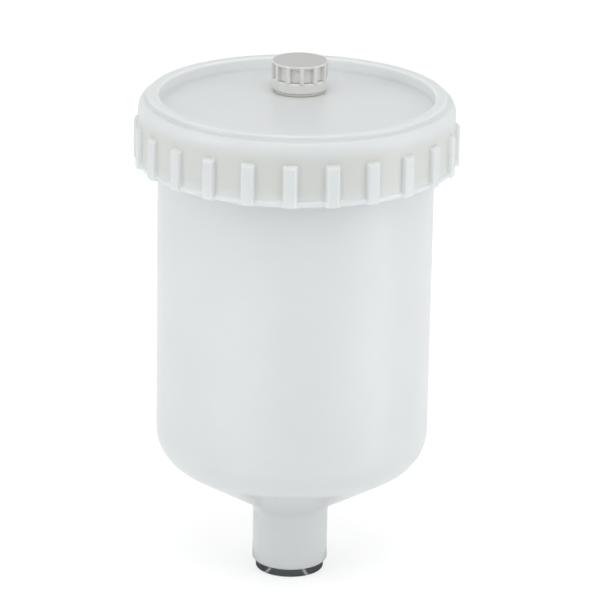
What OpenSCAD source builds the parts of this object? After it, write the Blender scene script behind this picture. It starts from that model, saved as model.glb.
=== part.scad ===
// Gravity paint cup with a screw lid: a translucent moulded cup whose conical floor runs
// down into an outlet neck with a moulded-in metal thread, a ribbed lid that turns and
// rises on a two-start thread, and a small vent with a fluted cap near the lid's edge.
// The origin is the centre of the metal ring's bottom face, with +Z up through the cup.

/* [Cup] */
// Outer diameter of the straight barrel
barrel_d = 90; // [60:1:130]
// Height of the straight barrel, from the floor's corner to the mouth's flare
barrel_h = 90; // [40:1:180]
// Wall thickness of the cup
cup_wall = 2; // [1.2:0.1:3]
// Outside radius of the corner between barrel and conical floor
corner_r = 13.5; // [6:0.5:20]
// Slope of the conical floor below the horizontal, in degrees
floor_slope = 31; // [20:1:45]

/* [Outlet neck] */
// Outer diameter of the plastic neck
neck_d = 25; // [23:0.5:32]
// Height of the neck, from its bottom face to where its side would meet the floor
neck_h = 20.1; // [17:0.1:40]
// Radius of the fillet between neck and floor
neck_fillet = 5; // [1:0.5:8]
// Chamfer round the neck's bottom edge
neck_chamfer = 0.9; // [0.3:0.1:1]
// Diameter of the plastic passage above the metal insert
passage_d = 16; // [15.4:0.1:18]
// Rounding where the floor runs over into the passage
passage_round = 1.5; // [0.5:0.1:2.5]

/* [Metal insert] */
// Diameter of the ring that shows below the neck
ring_d = 22.6; // [21:0.1:24]
// Height of that ring
ring_h = 3; // [2:0.1:8]
// Diameter of the part that the neck is moulded round
insert_d = 20; // [19:0.1:21]
// Length of that part
insert_h = 14.3; // [10:0.1:15]
// Bore, which is the minor diameter of the female thread
thread_bore_d = 14.95; // [14:0.05:15.2]
// Chamfer at the bore's open end
bore_chamfer = 0.8; // [0.3:0.1:1.2]
// Chamfer round the ring's bottom edge
ring_chamfer = 0.4; // [0.1:0.1:0.8]
// Number of anchor grooves round the moulded-in part
anchor_count = 2; // [1:1:3]
// Width of an anchor groove
anchor_w = 2.2; // [1:0.1:2.6]
// Depth of an anchor groove
anchor_depth = 0.9; // [0.3:0.1:1.2]

/* [Mouth and screw thread] */
// How far the mouth's collar stands out past the barrel
mouth_step = 1.8; // [0.5:0.1:4]
// Height of the flare from barrel to collar
flare_h = 3.2; // [2:0.1:6]
// Height of the threaded collar above the flare
mouth_h = 13.3; // [12:0.1:25]
// Wall thickness of the collar
mouth_wall = 2.2; // [1.5:0.1:3.5]
// Rounding of the rim's two edges
rim_round = 0.6; // [0.2:0.1:0.7]
// Number of thread starts
thread_starts = 2; // [1:1:2]
// Rise of the lid in one turn
thread_lead = 8; // [7:0.1:10]
// Length of each ridge, in turns
thread_turns = 0.75; // [0.4:0.05:0.8]
// Height of a ridge off its wall
thread_h = 1.4; // [0.8:0.1:1.6]
// Width of a ridge at its root
ridge_root_w = 2; // [1.4:0.1:2.2]
// Width of a ridge at its crest
ridge_crest_w = 1; // [0.5:0.1:1.2]
// Height of the cup ridges' start above the flare
thread_start_h = 2.8; // [2.6:0.1:3]
// Axial gap between the flanks that pull the lid down
flank_gap = 0.15; // [0.1:0.05:0.3]
// Radial gap between a ridge's crest and the wall that it faces
crest_gap = 0.3; // [0.2:0.05:0.6]

/* [Lid] */
// Thickness of the lid's recessed top
lid_top_t = 2.2; // [1.5:0.1:3.5]
// Depth of the recess below the lip
recess_depth = 4.1; // [2:0.1:7]
// Width of the raised lip round the recess
lip_w = 3.9; // [2.5:0.1:6]
// How far the lip stands above the shoulder
lip_step = 1.8; // [0.8:0.1:3]
// Width of the ledge between lip and shoulder
ledge_w = 1.5; // [0.5:0.1:3]
// Height of the shoulder's curve
shoulder_h = 3.2; // [2:0.1:4]
// Radius of the shoulder's curve
shoulder_r = 4.5; // [4:0.5:20]
// Thickness of the skirt between the ribs
skirt_wall = 3; // [2:0.1:5]
// Height of the skirt below the shoulder
skirt_h = 17.3; // [15:0.1:24]
// Height of the bead round the skirt's bottom edge
bead_h = 1.4; // [0.8:0.1:2.5]
// How far that bead stands out
bead_out = 0.6; // [0.2:0.1:1]
// Rounding of the lip's edges
lip_round = 0.8; // [0.2:0.1:1.1]

/* [Grip ribs] */
// Number of grip ribs round the lid
rib_count = 24; // [12:1:36]
// Width of a rib
rib_w = 4.5; // [2:0.1:6]
// How far a rib stands out from the skirt
rib_out = 1.4; // [0.8:0.1:3]
// How far the ribs' top ends lie below the shoulder
rib_drop = 3.4; // [0:0.1:6]
// Height of the slope at a rib's top end
rib_top_slope = 0.5; // [0.4:0.1:3]

/* [Lid gasket] */
// Thickness of the flat gasket between rim and lid
gasket_t = 1.4; // [0.8:0.1:3]
// Clearance above and below the gasket
seat_gap = 0.05; // [0.02:0.01:0.1]
// Clearance between the gasket's outer edge and the lid's wall
gasket_edge_gap = 0.4; // [0.3:0.05:0.8]
// Radial width of the gasket
gasket_w = 3.3; // [2.4:0.1:5]

/* [Vent] */
// Distance from the lid's centre to the vent's centre, towards the back
vent_offset = 18.5; // [14:0.5:26]
// Diameter of the vent's smooth collar
collar_d = 17.8; // [15:0.1:22]
// Height of that collar
collar_h = 3.5; // [2:0.1:6]
// Thickness of the rubber washer under the collar
washer_t = 0.9; // [0.5:0.1:2]
// How far the washer's edge lies inside the collar's
washer_inset = 0.3; // [0.1:0.1:1]
// Diameter of the stem through the lid
shank_d = 8; // [6:0.1:9]
// Diameter of the stem's upper spigot, on which the cap turns
spigot_d = 8.5; // [7:0.1:9.4]
// Diameter of the air hole through the stem
air_hole_d = 2.6; // [1:0.1:4]
// Width of the air slot across the collar's top
air_slot_w = 1.6; // [0.8:0.1:3]
// Depth of that air slot
air_slot_depth = 0.8; // [0.4:0.1:1.5]
// Width across the flats of the nut under the lid
nut_af = 13; // [11:0.5:17]
// Thickness of that nut
nut_h = 3; // [2:0.1:5]
// Length of stem that shows below the nut
stem_end = 0.8; // [0.3:0.1:2]
// Clearance round the stem in the lid's hole, the washer and the nut
stem_gap = 0.05; // [0.02:0.01:0.1]

/* [Vent cap] */
// Height of the fluted cap
cap_h = 6; // [4.5:0.1:10]
// Diameter of the cap's top plate
cap_d = 18; // [15:0.1:22]
// Thickness of that top plate, down to the pockets between the ribs
cap_plate_t = 1.1; // [0.6:0.1:2]
// Depth of the pockets between the ribs
cap_pocket = 1.1; // [0.5:0.1:2]
// How far the ribs stand out past the top plate
cap_rib_out = 0.35; // [0.1:0.05:0.8]
// Number of ribs round the cap
cap_rib_count = 12; // [8:1:18]
// Width of a cap rib
cap_rib_w = 1.3; // [0.8:0.1:2]
// Angle at which the closed cap's first rib stands, from +X
cap_rest_angle = 7; // [0:1:29]
// Thickness of the material over the cap's bore
cap_roof_t = 1.5; // [1:0.1:3]
// Radial running clearance between cap and spigot
cap_run_gap = 0.06; // [0.02:0.01:0.1]
// Gap between the closed cap and the collar
cap_seat_gap = 0.1; // [0.05:0.05:0.3]
// Rounding of the cap's top edge
cap_round = 0.4; // [0.1:0.1:0.5]
// Thickness of the sealing disc inside the cap
vent_seal_t = 1; // [0.5:0.1:1.6]
// Clearance between the sealing disc and the cap's bore
vent_seal_gap = 0.3; // [0.2:0.05:0.5]

/* [Hidden] */
$fn = 120;

// Segments in a profile's rounded stretch, and degrees between a ridge's sections
arc_steps = 10;
small_arc_steps = 5;
ridge_step = 10;
// Degrees over which a ridge sinks into its wall at each end, and how deep it is rooted
ridge_fade = 25;
ridge_root_depth = 0.5;
// How far a cutting tool runs past the surface that it cuts
cut_past = 1;

// Radii of the cup
barrel_r = barrel_d / 2;
barrel_in_r = barrel_r - cup_wall;
neck_r = neck_d / 2;
passage_r = passage_d / 2;
insert_r = insert_d / 2;
bore_r = thread_bore_d / 2;
mouth_r = barrel_r + mouth_step;
mouth_in_r = mouth_r - mouth_wall;

// Heights of the cup, upwards from the ring's bottom face
insert_top_z = ring_h + insert_h;
neck_top_z = ring_h + neck_h;
corner_reach_r = barrel_r - corner_r * (1 - sin(floor_slope));
corner_z = neck_top_z + (corner_reach_r - neck_r) * tan(floor_slope)
    + corner_r * cos(floor_slope);
flare_z = corner_z + barrel_h;
mouth_z = flare_z + flare_h;
rim_z = mouth_z + mouth_h;

// Ridges on the cup and in the lid, which share one helix
ridge_z = mouth_z + thread_start_h;
thread_pitch = thread_lead / thread_starts;
ridge_overlap = thread_h - crest_gap;
ridge_facing_w = ridge_crest_w + (ridge_root_w - ridge_crest_w) * ridge_overlap / thread_h;
lid_ridge_drop = (ridge_crest_w + ridge_facing_w) / 2 + flank_gap;

// Radii of the lid
lid_bore_r = mouth_r + thread_h + crest_gap;
skirt_r = lid_bore_r + skirt_wall;
rib_r = skirt_r + rib_out;
shoulder_in = shoulder_r - sqrt(shoulder_r * shoulder_r - shoulder_h * shoulder_h);
shoulder_top_r = skirt_r - shoulder_in;
lip_out_r = shoulder_top_r - ledge_w;
lip_in_r = lip_out_r - lip_w;

// Heights of the lid
lid_seat_z = rim_z + gasket_t + 2 * seat_gap;
lid_face_z = lid_seat_z + lid_top_t;
lip_z = lid_face_z + recess_depth;
ledge_z = lip_z - lip_step;
shoulder_z = ledge_z - shoulder_h;
skirt_z = shoulder_z - skirt_h;
rib_top_z = shoulder_z - rib_drop;

// Radii and heights of the vent
collar_z = lid_face_z + washer_t;
collar_top_z = collar_z + collar_h;
nut_z = lid_seat_z - nut_h;
stem_z = nut_z - stem_end;
shank_r = shank_d / 2;
spigot_r = spigot_d / 2;
cap_bore_r = spigot_r + cap_run_gap;
cap_z = collar_top_z + cap_seat_gap;
cap_top_z = cap_z + cap_h;
cap_roof_z = cap_top_z - cap_roof_t;
cap_r = cap_d / 2;
cap_core_r = cap_r - cap_pocket;
cap_rib_r = cap_r + cap_rib_out;
vent_seal_z = cap_roof_z - seat_gap - vent_seal_t;
spigot_top_z = vent_seal_z - seat_gap;
nut_corner_r = nut_af / 2 / cos(30);

// Points along an arc round (cx, cz), from angle a0 to a1
function arc(cx, cz, r, a0, a1, n) =
    [for (i = [0:n]) let (a = a0 + (a1 - a0) * i / n) [cx + r * cos(a), cz + r * sin(a)]];

// A list in reverse order
function reversed(v) = [for (i = [len(v) - 1:-1:0]) v[i]];

// Height of the floor's outer face at radius r, and of its inner face
function floor_out_z(r) = neck_top_z + (r - neck_r) * tan(floor_slope);
function floor_in_z(r) = floor_out_z(r) + cup_wall / cos(floor_slope);

// Side of the moulded-in part with its anchor grooves, upwards
anchor_pitch = insert_h / (anchor_count + 1);
function anchor_z(i) = ring_h + (i + 1) * anchor_pitch - anchor_w / 2;
insert_side = concat(
    [[insert_r, ring_h]],
    [for (i = [0:anchor_count - 1])
        each [[insert_r, anchor_z(i)],
              [insert_r - anchor_depth, anchor_z(i)],
              [insert_r - anchor_depth, anchor_z(i) + anchor_w],
              [insert_r, anchor_z(i) + anchor_w]]],
    [[insert_r, insert_top_z]]);

// Section of the cup: up the outside, over the rim, down the inside and round the insert
fillet_z = floor_out_z(neck_r + neck_fillet) - neck_fillet / cos(floor_slope);
passage_round_z = floor_in_z(passage_r + passage_round) - passage_round / cos(floor_slope);
cup_outside = concat(
    [[neck_r - neck_chamfer, ring_h], [neck_r, ring_h + neck_chamfer]],
    arc(neck_r + neck_fillet, fillet_z, neck_fillet, 180, 90 + floor_slope, arc_steps),
    arc(barrel_r - corner_r, corner_z, corner_r, floor_slope - 90, 0, arc_steps),
    [[barrel_r, flare_z], [mouth_r, mouth_z]],
    arc(mouth_r - rim_round, rim_z - rim_round, rim_round, 0, 90, small_arc_steps));
cup_inside = concat(
    arc(mouth_in_r + rim_round, rim_z - rim_round, rim_round, 90, 180, small_arc_steps),
    [[mouth_in_r, mouth_z], [barrel_in_r, flare_z]],
    arc(barrel_r - corner_r, corner_z, corner_r - cup_wall, 0, floor_slope - 90, arc_steps),
    arc(passage_r + passage_round, passage_round_z, passage_round,
        90 + floor_slope, 180, small_arc_steps),
    [[passage_r, insert_top_z]]);

// Section of the lid: up the outside, over the lip into the recess, and back underneath
lid_section = concat(
    [[lid_bore_r, skirt_z], [skirt_r + bead_out, skirt_z],
     [skirt_r + bead_out, skirt_z + bead_h], [skirt_r, skirt_z + bead_h + bead_out]],
    arc(skirt_r - shoulder_r, shoulder_z, shoulder_r,
        0, asin(shoulder_h / shoulder_r), arc_steps),
    [[lip_out_r, ledge_z]],
    arc(lip_out_r - lip_round, lip_z - lip_round, lip_round, 0, 90, small_arc_steps),
    arc(lip_in_r + lip_round, lip_z - lip_round, lip_round, 90, 180, small_arc_steps),
    [[lip_in_r, lid_face_z], [0, lid_face_z], [0, lid_seat_z], [lid_bore_r, lid_seat_z]]);

// One helical ridge on a wall of radius root_r, rising from z0 at angle 0. The crest lies
// outside the wall on the cup and inside it in the lid.
module ridge(root_r, crest_r, z0) {
    side = sign(crest_r - root_r);
    steps = ceil(thread_turns * 360 / ridge_step);
    span = thread_turns * 360;
    foot_r = root_r - side * ridge_root_depth;
    flank = (ridge_root_w - ridge_crest_w) / thread_h;
    points = [for (i = [0:steps])
        let (a = span * i / steps,
             fade = min(1, min(a, span - a) / ridge_fade),
             lift = abs(crest_r - root_r) + ridge_root_depth / 2,
             top_r = root_r - side * ridge_root_depth / 2 + side * lift * fade,
             z = z0 + thread_lead * a / 360,
             foot_w = ridge_root_w / 2 + flank * ridge_root_depth / 2,
             top_w = ridge_crest_w / 2)
        each [[foot_r * cos(a), foot_r * sin(a), z - side * foot_w],
              [top_r * cos(a), top_r * sin(a), z - side * top_w],
              [top_r * cos(a), top_r * sin(a), z + side * top_w],
              [foot_r * cos(a), foot_r * sin(a), z + side * foot_w]]];
    walls = [for (i = [0:steps - 1], k = [0:3])
        let (p = 4 * i + k, q = 4 * i + (k + 1) % 4)
        each [[p, q, q + 4], [p, q + 4, p + 4]]];
    last = 4 * steps;
    ends = [[3, 2, 1], [3, 1, 0],
            [last, last + 1, last + 2], [last, last + 2, last + 3]];
    polyhedron(points = points, faces = concat(walls, ends));
}

// The ridges of every start
module ridges(root_r, crest_r, z0) {
    for (s = [0:thread_starts - 1])
        rotate([0, 0, s * 360 / thread_starts])
            ridge(root_r, crest_r, z0);
}

// Puts its children at the vent's centre
module at_vent() {
    translate([0, vent_offset, 0])
        children();
}

// A plain ring from z0 upwards
module ring(outer_r, inner_r, z0, h) {
    rotate_extrude()
        translate([inner_r, z0])
            square([outer_r - inner_r, h]);
}

module cup_body() {
    color([0.87, 0.89, 0.90])
        union() {
            rotate_extrude()
                polygon(concat(cup_outside, cup_inside, reversed(insert_side)));
            ridges(mouth_r, mouth_r + thread_h, ridge_z);
        }
}

module outlet_insert() {
    color([0.45, 0.46, 0.47])
        rotate_extrude()
            polygon(concat(
                [[bore_r + bore_chamfer, 0], [ring_d / 2 - ring_chamfer, 0],
                 [ring_d / 2, ring_chamfer], [ring_d / 2, ring_h]],
                insert_side,
                [[bore_r, insert_top_z], [bore_r, bore_chamfer]]));
}

// A band at the ribs' full radius, sloped at its top, which the slabs cut into ribs
module rib_band() {
    rotate_extrude()
        polygon([[lid_bore_r + skirt_wall / 2, skirt_z], [rib_r, skirt_z],
                 [rib_r, rib_top_z - rib_top_slope],
                 [skirt_r - rib_out / 4, rib_top_z + rib_top_slope / 4],
                 [lid_bore_r + skirt_wall / 2, rib_top_z]]);
}

module rib_slabs() {
    for (i = [0:rib_count - 1])
        rotate([0, 0, 90 + i * 360 / rib_count])
            translate([lid_bore_r, -rib_w / 2, skirt_z - cut_past])
                cube([rib_r - lid_bore_r + cut_past, rib_w, skirt_h + shoulder_h]);
}

module lid() {
    color([0.86, 0.88, 0.89])
        difference() {
            union() {
                rotate_extrude()
                    polygon(lid_section);
                intersection() {
                    rib_band();
                    rib_slabs();
                }
                ridges(lid_bore_r, lid_bore_r - thread_h, ridge_z - lid_ridge_drop);
            }
            at_vent()
                translate([0, 0, lid_seat_z - cut_past])
                    cylinder(r = shank_r + stem_gap, h = lid_top_t + 2 * cut_past);
        }
}

module lid_gasket() {
    color([0.78, 0.79, 0.78])
        ring(lid_bore_r - gasket_edge_gap, lid_bore_r - gasket_edge_gap - gasket_w,
             rim_z + seat_gap, gasket_t);
}

module vent_stem() {
    color([0.68, 0.69, 0.69])
        at_vent()
            difference() {
                rotate_extrude()
                    polygon([[air_hole_d / 2, stem_z], [shank_r, stem_z],
                             [shank_r, collar_z], [collar_d / 2, collar_z],
                             [collar_d / 2, collar_top_z], [spigot_r, collar_top_z],
                             [spigot_r, spigot_top_z], [air_hole_d / 2, spigot_top_z]]);
                translate([spigot_r, -air_slot_w / 2, collar_top_z - air_slot_depth])
                    cube([collar_d / 2 - spigot_r + cut_past, air_slot_w,
                          air_slot_depth + cut_past]);
            }
}

module vent_washer() {
    color([0.36, 0.36, 0.35])
        at_vent()
            ring(collar_d / 2 - washer_inset, shank_r + stem_gap, lid_face_z, washer_t);
}

module vent_nut() {
    color([0.80, 0.81, 0.81])
        at_vent()
            difference() {
                translate([0, 0, nut_z])
                    cylinder(r = nut_corner_r, h = nut_h, $fn = 6);
                translate([0, 0, nut_z - cut_past])
                    cylinder(r = shank_r + stem_gap, h = nut_h + 2 * cut_past);
            }
}

module vent_seal() {
    color([0.30, 0.30, 0.30])
        at_vent()
            translate([0, 0, vent_seal_z])
                cylinder(r = cap_bore_r - vent_seal_gap, h = vent_seal_t);
}

// The cap's ribs, from its bottom to the underside of the top plate's rounded edge
module cap_ribs() {
    for (i = [0:cap_rib_count - 1])
        rotate([0, 0, cap_rest_angle + i * 360 / cap_rib_count])
            translate([cap_core_r - cap_pocket / 2, -cap_rib_w / 2, cap_z])
                cube([cap_rib_r - cap_core_r + cap_pocket / 2, cap_rib_w,
                      cap_h - cap_round]);
}

module vent_cap() {
    color([0.70, 0.71, 0.71])
        at_vent()
            difference() {
                union() {
                    rotate_extrude()
                        polygon(concat(
                            [[0, cap_z], [cap_core_r, cap_z],
                             [cap_core_r, cap_top_z - cap_plate_t],
                             [cap_r, cap_top_z - cap_plate_t]],
                            arc(cap_r - cap_round, cap_top_z - cap_round, cap_round,
                                0, 90, small_arc_steps),
                            [[0, cap_top_z]]));
                    cap_ribs();
                }
                translate([0, 0, cap_z - cut_past])
                    cylinder(r = cap_bore_r, h = cap_roof_z - cap_z + cut_past);
            }
}

cup_body();
outlet_insert();
lid();
lid_gasket();
vent_stem();
vent_washer();
vent_nut();
vent_seal();
vent_cap();
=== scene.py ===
"""Looks of a gravity paint cup: its moulded shells, threads, fluted vent cap and plated insert.

Lengths are written in millimetres, as a maker would, and turned to metres where a mesh is made.
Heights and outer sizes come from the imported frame, so each piece stays where its solid is.
"""

from __future__ import annotations

import logging
import math
from dataclasses import dataclass, field, replace
from enum import Enum
from functools import cache
from typing import Any, Optional, Sequence, Union

import bmesh
import bpy
from bpy.types import Material, Node, NodeSocket, NodeTree, Object
from mathutils import Matrix, Vector

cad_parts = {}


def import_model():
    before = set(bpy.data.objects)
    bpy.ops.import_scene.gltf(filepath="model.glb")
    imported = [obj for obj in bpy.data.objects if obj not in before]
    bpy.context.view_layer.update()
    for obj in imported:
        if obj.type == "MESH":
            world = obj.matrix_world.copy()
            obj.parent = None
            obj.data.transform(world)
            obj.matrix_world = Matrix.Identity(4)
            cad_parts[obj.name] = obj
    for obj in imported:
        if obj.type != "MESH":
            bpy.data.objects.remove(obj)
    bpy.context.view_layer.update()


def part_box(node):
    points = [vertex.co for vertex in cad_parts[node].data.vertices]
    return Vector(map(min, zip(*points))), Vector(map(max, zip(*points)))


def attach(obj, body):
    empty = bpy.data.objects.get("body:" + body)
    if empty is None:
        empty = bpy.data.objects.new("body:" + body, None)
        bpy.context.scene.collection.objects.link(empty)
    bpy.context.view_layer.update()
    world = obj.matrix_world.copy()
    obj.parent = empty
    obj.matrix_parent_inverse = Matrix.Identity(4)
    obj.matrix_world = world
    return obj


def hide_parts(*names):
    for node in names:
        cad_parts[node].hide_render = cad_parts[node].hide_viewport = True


log = logging.getLogger("paint_cup")

MM = 0.001
TURN = 2 * math.pi
SHARP_ANGLE = math.radians(34)
# How far a shape that cuts another reaches past it, in mm.
PAST = 1.0
UPWARDS = (0.0, 0.0, 1.0)
MIX = "Mix:data_type=RGBA"
SMOOTH_STEP = "MapRange:interpolation_type=SMOOTHSTEP"

Point = tuple[float, float]
Path = list[Point]
Value = Union[Node, NodeSocket, float, int, Sequence[float], Any]
Rows = dict[str, tuple]


class Cut(Enum):
    """How two meshes are combined."""

    JOIN = "UNION"
    TAKE_AWAY = "DIFFERENCE"
    KEEP_COMMON = "INTERSECT"


class Wall(Enum):
    """Which side of its wall a thread ridge stands on."""

    OUTSIDE = 1
    INSIDE = -1


def linear(hex_colour: str) -> tuple[float, float, float, float]:
    """Turns an sRGB hex colour to linear light.

    Args:
        hex_colour: six hex digits with a leading hash.

    Returns:
        The linear red, green and blue, and an alpha of 1.
    """
    shares = [int(hex_colour[i : i + 2], 16) / 255 for i in (1, 3, 5)]
    low_end, slope, offset, gamma = 0.04045, 12.92, 0.055, 2.4
    light = [s / slope if s <= low_end else ((s + offset) / (1 + offset)) ** gamma for s in shares]
    return light[0], light[1], light[2], 1.0


def per_metre(size_mm: float) -> float:
    """The scale that gives a pattern's parts this size."""
    return 1 / (size_mm * MM)


def fill(tree: NodeTree, node: Node, inputs: dict) -> None:
    """Sets a node's inputs.

    Args:
        tree: the tree that holds the node.
        node: the node.
        inputs: input name or number to a plain value, a socket, or a node whose first output
            is linked.
    """
    for key, value in inputs.items():
        if isinstance(value, Node):
            value = value.outputs[0]
        if isinstance(value, NodeSocket):
            tree.links.new(value, node.inputs[key])
        else:
            node.inputs[key].default_value = value


def add_node(tree: NodeTree, kind: str, inputs: Optional[dict] = None, **settings: Any) -> Node:
    """Adds one node, with its settings, values and links.

    Args:
        tree: the tree that gets the node.
        kind: the node's type name.
        inputs: what its inputs are filled with.
        settings: the node's own properties.

    Returns:
        The new node.
    """
    made = tree.nodes.new(kind)
    for name, value in settings.items():
        setattr(made, name, value)
    fill(tree, made, inputs or {})
    return made


def grow(tree: NodeTree, known: dict[str, Value], rows: Rows) -> dict[str, Value]:
    """Adds a table of nodes, in order.

    A row holds the node's type and then its inputs in their order, or by name in a dict. A type
    without the word Node is a shader node's. It may be followed by a colon and a setting, which
    is the operation if it has no name. A text among the inputs stands for something known or
    for an earlier row, with the name or number of an output after a dot.

    Args:
        tree: the tree that gets the nodes.
        known: sockets that the rows may name.
        rows: the table, by row name.

    Returns:
        The known sockets and the new nodes, by name.
    """
    made = dict(known)

    def found(value: Value) -> Value:
        """What a text stands for, or the plain value itself."""
        if not isinstance(value, str):
            return value
        if value in made:
            return made[value]
        name, _, output = value.rpartition(".")
        return made[name].outputs[int(output) if output.isdigit() else output]

    for name, (kind, *inputs) in rows.items():
        kind, _, setting = kind.partition(":")
        kind = kind if "Node" in kind else "ShaderNode" + kind
        label, _, choice = setting.rpartition("=")
        named = inputs.pop() if inputs and isinstance(inputs[-1], dict) else {}
        places = {**dict(enumerate(inputs)), **named}
        settings = {label or "operation": choice} if setting else {}
        made[name] = add_node(tree, kind, {k: found(v) for k, v in places.items()}, **settings)
    return made


# Sections and turned shapes


@dataclass(frozen=True)
class Corner:
    """A corner of a turned section: radius and height in mm, and the radius that rounds it."""

    r: float
    z: float
    rounding: float = 0.0
    steps: int = 5


def section(corners: Sequence[Corner]) -> Path:
    """Rounds a section's corners and adds points that keep its long flats flat when shaded.

    Args:
        corners: the corners in order. A section that starts on the axis is open and ends there.

    Returns:
        The points of the section, in mm.
    """
    points: Path = []
    closed, count = corners[0].r > 0, len(corners)
    for i, corner in enumerate(corners):
        here = Vector((corner.r, corner.z))
        if corner.rounding <= 0 or not (closed or 0 < i < count - 1):
            points.append((corner.r, corner.z))
            continue
        before, after = corners[i - 1], corners[(i + 1) % count]
        back = (Vector((before.r, before.z)) - here).normalized()
        ahead = (Vector((after.r, after.z)) - here).normalized()
        half = back.angle(ahead) / 2
        reach = corner.rounding / math.tan(half)
        middle = here + (back + ahead).normalized() * (corner.rounding / math.sin(half))
        start, end = here + back * reach - middle, here + ahead * reach - middle
        sweep = start.angle_signed(end)
        for k in range(corner.steps + 1):
            spoke = Matrix.Rotation(-sweep * k / corner.steps, 2) @ start
            points.append((middle.x + spoke.x, middle.y + spoke.y))
    return with_support(points, closed)


def between(start: Point, end: Point, share: float) -> Point:
    """The point that lies this share of the way from one point to the other."""
    return start[0] + (end[0] - start[0]) * share, start[1] + (end[1] - start[1]) * share


def with_support(points: Path, closed: bool) -> Path:
    """Adds a point near each end of every long straight stretch of a section.

    Args:
        points: the section, in mm.
        closed: whether its last point joins its first.

    Returns:
        The section with its extra points.
    """
    support, longest = 0.25, 1.5
    made: Path = []
    for i, start in enumerate(points):
        made.append(start)
        end = points[(i + 1) % len(points)]
        length = math.dist(start, end)
        if length > longest and (closed or i < len(points) - 1):
            made += [between(start, end, s) for s in (support / length, 1 - support / length)]
    return made


def spaced(points: Path, longest: float, radius: Optional[float] = None) -> Path:
    """Splits the tall stretches of a closed section, so that a thread can shape them.

    Args:
        points: the section, in mm.
        longest: the longest rise left, in mm.
        radius: if given, only upright stretches at this radius are split.

    Returns:
        The section with its extra points.
    """
    near = 0.001
    made: Path = []
    for start, end in zip(points, points[1:] + points[:1]):
        made.append(start)
        chosen = radius is None or max(abs(start[0] - radius), abs(end[0] - radius)) < near
        parts = math.ceil(abs(end[1] - start[1]) / longest) if chosen else 1
        made += [between(start, end, k / parts) for k in range(1, parts)]
    return made


def even(count: int) -> list[float]:
    """Equal steps round a full turn, in radians."""
    return [TURN * k / count for k in range(count)]


def empty_piece(name: str) -> Object:
    """A new object with nothing in its mesh yet."""
    made = bpy.data.objects.new(name, bpy.data.meshes.new(name))
    bpy.context.scene.collection.objects.link(made)
    return made


def turned(name: str, points: Path, angles: Sequence[float], centre_y: float = 0.0) -> Object:
    """Turns a section round an upright axis into a closed mesh.

    Args:
        name: the new object's name.
        points: the section, in mm. It is a loop, or starts and ends on the axis.
        angles: where the turned columns stand, in radians.
        centre_y: the axis's place along Y, in mm.

    Returns:
        The object, with its place in its mesh.
    """
    columns = len(angles)
    places: list[tuple[float, float, float]] = []
    rings: list[list[int]] = []
    for radius, height in points:
        first = len(places)
        if radius <= 0:
            places.append((0.0, centre_y * MM, height * MM))
            rings.append([first] * columns)
            continue
        places += [
            (radius * math.cos(a) * MM, (centre_y + radius * math.sin(a)) * MM, height * MM)
            for a in angles
        ]
        rings.append(list(range(first, first + columns)))
    faces: list[tuple[int, ...]] = []
    for lower, upper in zip(rings, rings[1:] + (rings[:1] if points[0][0] > 0 else [])):
        for k in range(columns):
            n = (k + 1) % columns
            corners = dict.fromkeys((lower[k], lower[n], upper[n], upper[k]))
            if len(corners) > 2:
                faces.append(tuple(corners))
    made = empty_piece(name)
    made.data.from_pydata(places, [], faces)
    face_outwards(made)
    return made


def flat_ring(
    name: str, box: NodeBox, inner: tuple, edge: tuple, columns: int, centre_y: float = 0.0
) -> Object:
    """Turns a flat ring or disc as wide and high as its node.

    Args:
        name: the new object's name.
        box: the node's box.
        inner: the inner radius, its edges' rounding in mm and the steps in it.
        edge: the outer edges' rounding in mm and the steps in it.
        columns: how many columns it is turned in.
        centre_y: the axis's place along Y, in mm.

    Returns:
        The object.
    """
    (radius, *inner_edge), low, high = inner, box.low.z, box.high.z
    corners = [
        Corner(radius, low, *inner_edge),
        Corner(box.radius, low, *edge),
        Corner(box.radius, high, *edge),
        Corner(radius, high, *inner_edge),
    ]
    return turned(name, section(corners), even(columns), centre_y)


def box_mesh(name: str, middle: Vector, size: Vector) -> Object:
    """Makes a plain closed box, used only to cut other pieces.

    Args:
        name: the new object's name.
        middle: its middle, in mm.
        size: its sides, in mm.

    Returns:
        The box.
    """
    shape = bmesh.new()
    bmesh.ops.create_cube(shape, size=1.0)
    bmesh.ops.scale(shape, vec=size * MM, verts=shape.verts)
    bmesh.ops.translate(shape, vec=middle * MM, verts=shape.verts)
    made = empty_piece(name)
    shape.to_mesh(made.data)
    shape.free()
    return made


def face_outwards(piece: Object) -> None:
    """Merges doubled points and turns every face outwards.

    Args:
        piece: the object whose mesh is cleaned.
    """
    shape = bmesh.new()
    shape.from_mesh(piece.data)
    bmesh.ops.remove_doubles(shape, verts=shape.verts, dist=MM / 10000)
    bmesh.ops.recalc_face_normals(shape, faces=shape.faces)
    shape.to_mesh(piece.data)
    shape.free()


def bake(piece: Object) -> None:
    """Turns what a piece's modifiers show into its own plain mesh.

    Args:
        piece: the object with modifiers.
    """
    graph = bpy.context.evaluated_depsgraph_get()
    graph.update()
    mesh = bpy.data.meshes.new_from_object(piece.evaluated_get(graph))
    old = piece.data
    piece.modifiers.clear()
    piece.data = mesh
    bpy.data.meshes.remove(old)
    mesh.name = piece.name


def combine(piece: Object, other: Object, cut: Cut) -> None:
    """Combines two closed meshes and removes the second one.

    Args:
        piece: the mesh that is kept.
        other: the mesh that is added, taken away or intersected.
        cut: which of these.
    """
    step = piece.modifiers.new(cut.name.lower(), "BOOLEAN")
    step.operation = cut.value
    step.solver = "MANIFOLD"
    step.object = other
    bake(piece)
    bpy.data.objects.remove(other)


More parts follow.
